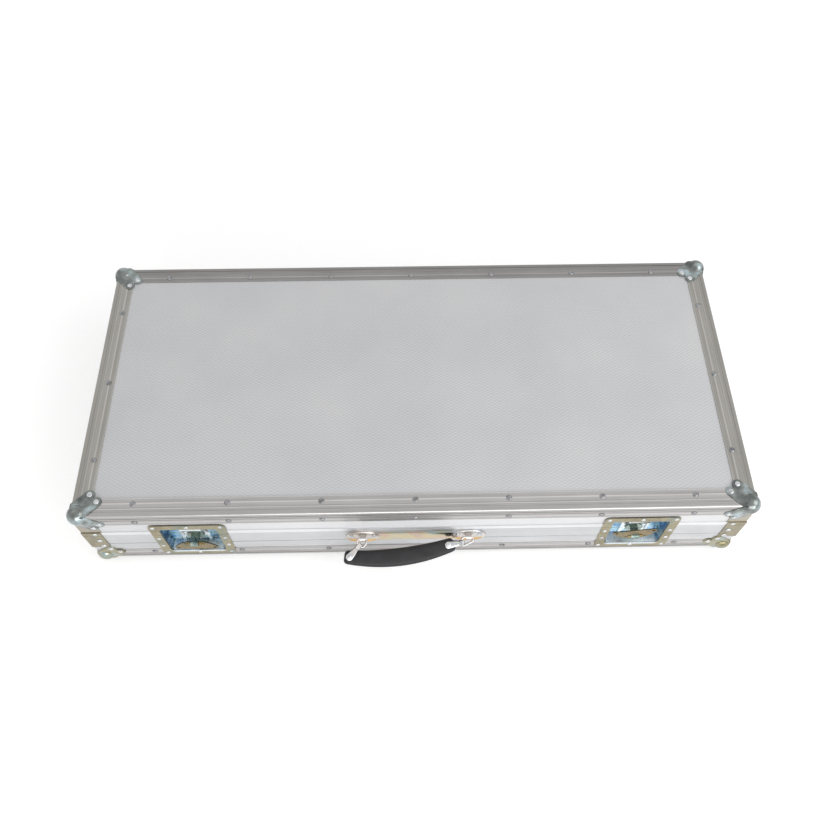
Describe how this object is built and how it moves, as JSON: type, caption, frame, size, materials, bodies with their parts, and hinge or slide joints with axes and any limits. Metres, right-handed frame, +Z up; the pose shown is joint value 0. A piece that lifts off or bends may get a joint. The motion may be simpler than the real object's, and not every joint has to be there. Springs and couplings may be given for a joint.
{
  "type": "hard case with latches and a hinged lid",
  "caption": "Shallow rectangular flight case with riveted aluminium edges, ball corners, recessed butterfly latches, a strap handle, rear hinges and a foam lining.",
  "frame": {"origin": "under the middle of the whole outline with the handle and hinges, on the floor that the feet stand on", "axes": "+X along the longest side to the viewer's right, +Y from the handle side to the hinge side, +Z up through the lid"},
  "size_m": [1.041, 0.5249, 0.1825],
  "materials": {
    "laminate_panel": "silver laminate with a fine dimple on ply",
    "aluminium_edge": "reeded extrusion, mill finish",
    "aluminium_rim": "extruded closing rim, satin",
    "corner_steel": "pressed steel, zinc plated with a warm tint",
    "rivet_steel": "bright domed rivets",
    "latch_dish": "pressed steel, zinc plated, bluish inside and olive on the flange",
    "latch_wing": "plated steel with a brown-gold tint",
    "latch_steel": "bright plated steel",
    "hinge_steel": "plated steel",
    "handle_steel": "nickel plated steel",
    "grip_rubber": "black moulded rubber",
    "foot_rubber": "black rubber",
    "foam": "dark grey open-cell foam"
  },
  "bodies": {
    "base": {"base_ball_corners": "corner_steel", "base_corner_braces": "corner_steel", "base_floor_panel": "laminate_panel", "base_foam_pad": "foam", "base_foam_ring": "foam", "base_front_edge": "aluminium_edge", "base_front_panel": "laminate_panel", "base_front_rim": "aluminium_rim", "base_hinge_leaves": "hinge_steel", "base_left_edge": "aluminium_edge", "base_left_panel": "laminate_panel", "base_left_rim": "aluminium_rim", "base_rear_edge": "aluminium_edge", "base_rear_panel": "laminate_panel", "base_rear_rim": "aluminium_rim", "base_right_edge": "aluminium_edge", "base_right_panel": "laminate_panel", "base_right_rim": "aluminium_rim", "base_rivets": "rivet_steel", "handle_plate": "handle_steel", "hinge_pins": "hinge_steel", "latch_guides": "latch_steel", "latch_lower_dishes": "latch_dish", "rubber_feet": "foot_rubber"},
    "lid": {"latch_keepers": "latch_steel", "latch_upper_dishes": "latch_dish", "lid_ball_corners": "corner_steel", "lid_corner_braces": "corner_steel", "lid_corner_posts": "aluminium_edge", "lid_foam_pad": "foam", "lid_foam_ring": "foam", "lid_front_edge": "aluminium_edge", "lid_front_panel": "laminate_panel", "lid_front_rim": "aluminium_rim", "lid_hinge_leaves": "hinge_steel", "lid_left_edge": "aluminium_edge", "lid_left_panel": "laminate_panel", "lid_left_rim": "aluminium_rim", "lid_rear_edge": "aluminium_edge", "lid_rear_panel": "laminate_panel", "lid_rear_rim": "aluminium_rim", "lid_right_edge": "aluminium_edge", "lid_right_panel": "laminate_panel", "lid_right_rim": "aluminium_rim", "lid_rivets": "rivet_steel", "lid_top_panel": "laminate_panel"},
    "left_hook": {"left_latch_hook": "latch_steel"},
    "left_spindle": {"left_latch_spindle": "latch_steel", "left_latch_pin": "latch_steel"},
    "left_wing": {"left_latch_wing": "latch_wing"},
    "right_hook": {"right_latch_hook": "latch_steel"},
    "right_spindle": {"right_latch_spindle": "latch_steel", "right_latch_pin": "latch_steel"},
    "right_wing": {"right_latch_wing": "latch_wing"},
    "handle": {"handle_bails": "handle_steel", "handle_clips": "handle_steel", "handle_grip": "grip_rubber", "handle_rivets": "rivet_steel"}
  },
  "joints": [
    {"name": "lid_hinge", "type": "hinge", "parent": "base", "child": "lid", "pos_m": [0, 0.25718, 0.1042], "axis": [-1, 0, 0], "range_deg": [0, 100]},
    {"name": "left_latch_turn", "type": "hinge", "parent": "base", "child": "left_spindle", "pos_m": [-0.347, -0.21772, 0.072], "axis": [0, -1, 0], "range_deg": [0, 180]},
    {"name": "left_wing_fold", "type": "hinge", "parent": "left_spindle", "child": "left_wing", "pos_m": [-0.347, -0.22002, 0.072], "axis": [-1, 0, 0], "range_deg": [0, 180]},
    {"name": "left_hook_slide", "type": "slide", "parent": "base", "child": "left_hook", "axis": [0, 0, 1], "range_m": [0, 0.0071]},
    {"name": "right_latch_turn", "type": "hinge", "parent": "base", "child": "right_spindle", "pos_m": [0.347, -0.21772, 0.072], "axis": [0, -1, 0], "range_deg": [-11, 169]},
    {"name": "right_wing_fold", "type": "hinge", "parent": "right_spindle", "child": "right_wing", "pos_m": [0.347, -0.22002, 0.072], "axis": [0.9816, 0, 0.1908], "range_deg": [0, 180]},
    {"name": "right_hook_slide", "type": "slide", "parent": "base", "child": "right_hook", "axis": [0, 0, 1], "range_m": [-0.0005, 0.0067]},
    {"name": "handle_swing", "type": "hinge", "parent": "base", "child": "handle", "pos_m": [0, -0.22217, 0.0835], "axis": [-1, 0, 0], "range_deg": [0, 60]}
  ],
  "couplings": [
    {"joint": "left_hook_slide", "follows": "left_latch_turn", "m_per_rad": 0.0022282},
    {"joint": "right_hook_slide", "follows": "right_latch_turn", "m_per_rad": 0.0022282}
  ]
}
